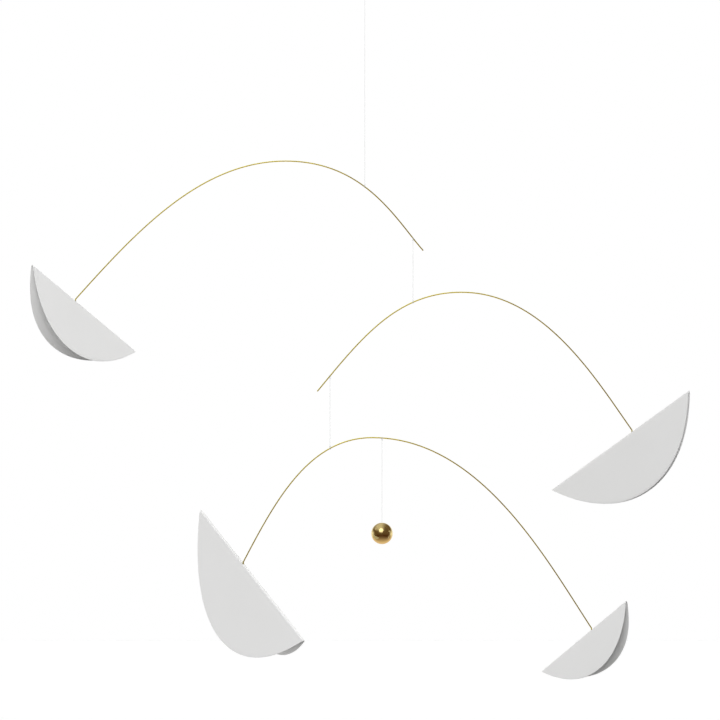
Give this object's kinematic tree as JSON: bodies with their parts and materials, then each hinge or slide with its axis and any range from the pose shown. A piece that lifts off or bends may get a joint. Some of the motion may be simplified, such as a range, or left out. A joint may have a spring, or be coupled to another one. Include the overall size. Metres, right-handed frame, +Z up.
{
  "type": "hanging mobile",
  "caption": "Hanging mobile: arched brass wires hung below each other on clear threads, with folded white leaves on their ends and a small brass ball",
  "frame": {"origin": "the inside of the top of the hanging loop, where a hook carries it", "axes": "+Z up, +X to the right along the wires as seen from the front, +Y away from the viewer; the wires lie in the XZ plane at rest"},
  "size_m": [0.6582, 0.1676, 0.6969],
  "materials": {
    "clear_thread": "gloss",
    "brass": "polished",
    "white_leaf": "matte"
  },
  "bodies": {
    "hanging_loop": {"hanging_loop": "clear_thread"},
    "loop_knot": {"loop_knot": "clear_thread"},
    "top_thread": {"top_thread": "clear_thread"},
    "upper_knot": {"upper_knot": "clear_thread"},
    "upper_wire": {"upper_wire": "brass"},
    "upper_left_bead": {"upper_left_bead": "brass"},
    "upper_left_leaf": {"upper_left_leaf": "white_leaf"},
    "middle_hang_knot": {"middle_hang_knot": "clear_thread"},
    "middle_thread": {"middle_thread": "clear_thread"},
    "middle_knot": {"middle_knot": "clear_thread"},
    "middle_wire": {"middle_wire": "brass"},
    "middle_right_bead": {"middle_right_bead": "brass"},
    "middle_right_leaf": {"middle_right_leaf": "white_leaf"},
    "lower_hang_knot": {"lower_hang_knot": "clear_thread"},
    "lower_thread": {"lower_thread": "clear_thread"},
    "lower_knot": {"lower_knot": "clear_thread"},
    "lower_wire": {"lower_wire": "brass"},
    "lower_left_bead": {"lower_left_bead": "brass"},
    "lower_left_leaf": {"lower_left_leaf": "white_leaf"},
    "lower_right_bead": {"lower_right_bead": "brass"},
    "lower_right_leaf": {"lower_right_leaf": "white_leaf"},
    "ball_hang_knot": {"ball_hang_knot": "clear_thread"},
    "ball_thread": {"ball_thread": "clear_thread", "ball_stop_knot": "clear_thread"},
    "ball": {"ball": "brass"}
  },
  "joints": [
    {"name": "top_front_swing", "type": "hinge", "parent": "hanging_loop", "child": "loop_knot", "pos_m": [0, 0, -0.0131], "axis": [1, 0, 0], "range_deg": [-10, 10]},
    {"name": "top_side_swing", "type": "hinge", "parent": "loop_knot", "child": "top_thread", "pos_m": [0, 0, -0.0142], "axis": [0, 1, 0], "range_deg": [-10, 10]},
    {"name": "upper_turn", "type": "hinge", "parent": "top_thread", "child": "upper_knot", "pos_m": [0, 0, -0.2039], "axis": [0, 0, 1], "continuous": true},
    {"name": "upper_tilt", "type": "hinge", "parent": "upper_knot", "child": "upper_wire", "pos_m": [0, 0, -0.2039], "axis": [0, 1, 0], "range_deg": [-10, 10]},
    {"name": "upper_left_leaf_turn", "type": "hinge", "parent": "upper_wire", "child": "upper_left_bead", "pos_m": [-0.28931, 0, -0.32001], "axis": [0, 0, 1], "continuous": true},
    {"name": "upper_left_leaf_rock", "type": "hinge", "parent": "upper_left_bead", "child": "upper_left_leaf", "pos_m": [-0.28931, 0, -0.32001], "axis": [-0.5987, 0.7996, 0.0464], "range_deg": [-12, 12]},
    {"name": "middle_front_swing", "type": "hinge", "parent": "upper_wire", "child": "middle_hang_knot", "pos_m": [0.0482, 0, -0.25521], "axis": [1, 0, 0], "range_deg": [-10, 10]},
    {"name": "middle_side_swing", "type": "hinge", "parent": "middle_hang_knot", "child": "middle_thread", "pos_m": [0.0482, 0, -0.25848], "axis": [0, 1, 0], "range_deg": [-10, 10]},
    {"name": "middle_turn", "type": "hinge", "parent": "middle_thread", "child": "middle_knot", "pos_m": [0.0482, 0, -0.31931], "axis": [0, 0, 1], "continuous": true},
    {"name": "middle_tilt", "type": "hinge", "parent": "middle_knot", "child": "middle_wire", "pos_m": [0.0482, 0, -0.31931], "axis": [0, 1, 0], "range_deg": [-10, 10]},
    {"name": "middle_right_leaf_turn", "type": "hinge", "parent": "middle_wire", "child": "middle_right_bead", "pos_m": [0.26717, 0, -0.45086], "axis": [0, 0, 1], "continuous": true},
    {"name": "middle_right_leaf_rock", "type": "hinge", "parent": "middle_right_bead", "child": "middle_right_leaf", "pos_m": [0.26717, 0, -0.45086], "axis": [-0.4705, -0.8824, 0.0044], "range_deg": [-12, 12]},
    {"name": "lower_front_swing", "type": "hinge", "parent": "middle_wire", "child": "lower_hang_knot", "pos_m": [-0.0348, 0, -0.39299], "axis": [1, 0, 0], "range_deg": [-10, 10]},
    {"name": "lower_side_swing", "type": "hinge", "parent": "lower_hang_knot", "child": "lower_thread", "pos_m": [-0.0348, 0, -0.39621], "axis": [0, 1, 0], "range_deg": [-10, 10]},
    {"name": "lower_turn", "type": "hinge", "parent": "lower_thread", "child": "lower_knot", "pos_m": [-0.0348, 0, -0.46549], "axis": [0, 0, 1], "continuous": true},
    {"name": "lower_tilt", "type": "hinge", "parent": "lower_knot", "child": "lower_wire", "pos_m": [-0.0348, 0, -0.46549], "axis": [0, 1, 0], "range_deg": [-10, 10]},
    {"name": "lower_left_leaf_turn", "type": "hinge", "parent": "lower_wire", "child": "lower_left_bead", "pos_m": [-0.12143, 0, -0.58258], "axis": [0, 0, 1], "continuous": true},
    {"name": "lower_left_leaf_rock", "type": "hinge", "parent": "lower_left_bead", "child": "lower_left_leaf", "pos_m": [-0.12143, 0, -0.58258], "axis": [0.8673, 0.4916, 0.0788], "range_deg": [-12, 12]},
    {"name": "lower_right_leaf_turn", "type": "hinge", "parent": "lower_wire", "child": "lower_right_bead", "pos_m": [0.22673, 0, -0.64907], "axis": [0, 0, 1], "continuous": true},
    {"name": "lower_right_leaf_rock", "type": "hinge", "parent": "lower_right_bead", "child": "lower_right_leaf", "pos_m": [0.22673, 0, -0.64907], "axis": [-0.5131, -0.8525, -0.0995], "range_deg": [-12, 12]},
    {"name": "ball_front_swing", "type": "hinge", "parent": "lower_wire", "child": "ball_hang_knot", "pos_m": [0.0172, 0, -0.45512], "axis": [1, 0, 0], "range_deg": [-10, 10]},
    {"name": "ball_side_swing", "type": "hinge", "parent": "ball_hang_knot", "child": "ball_thread", "pos_m": [0.0172, 0, -0.45772], "axis": [0, 1, 0], "range_deg": [-10, 10]},
    {"name": "ball_spin", "type": "hinge", "parent": "ball_thread", "child": "ball", "pos_m": [0.0172, 0, -0.55042], "axis": [0, 0, 1], "continuous": true}
  ]
}
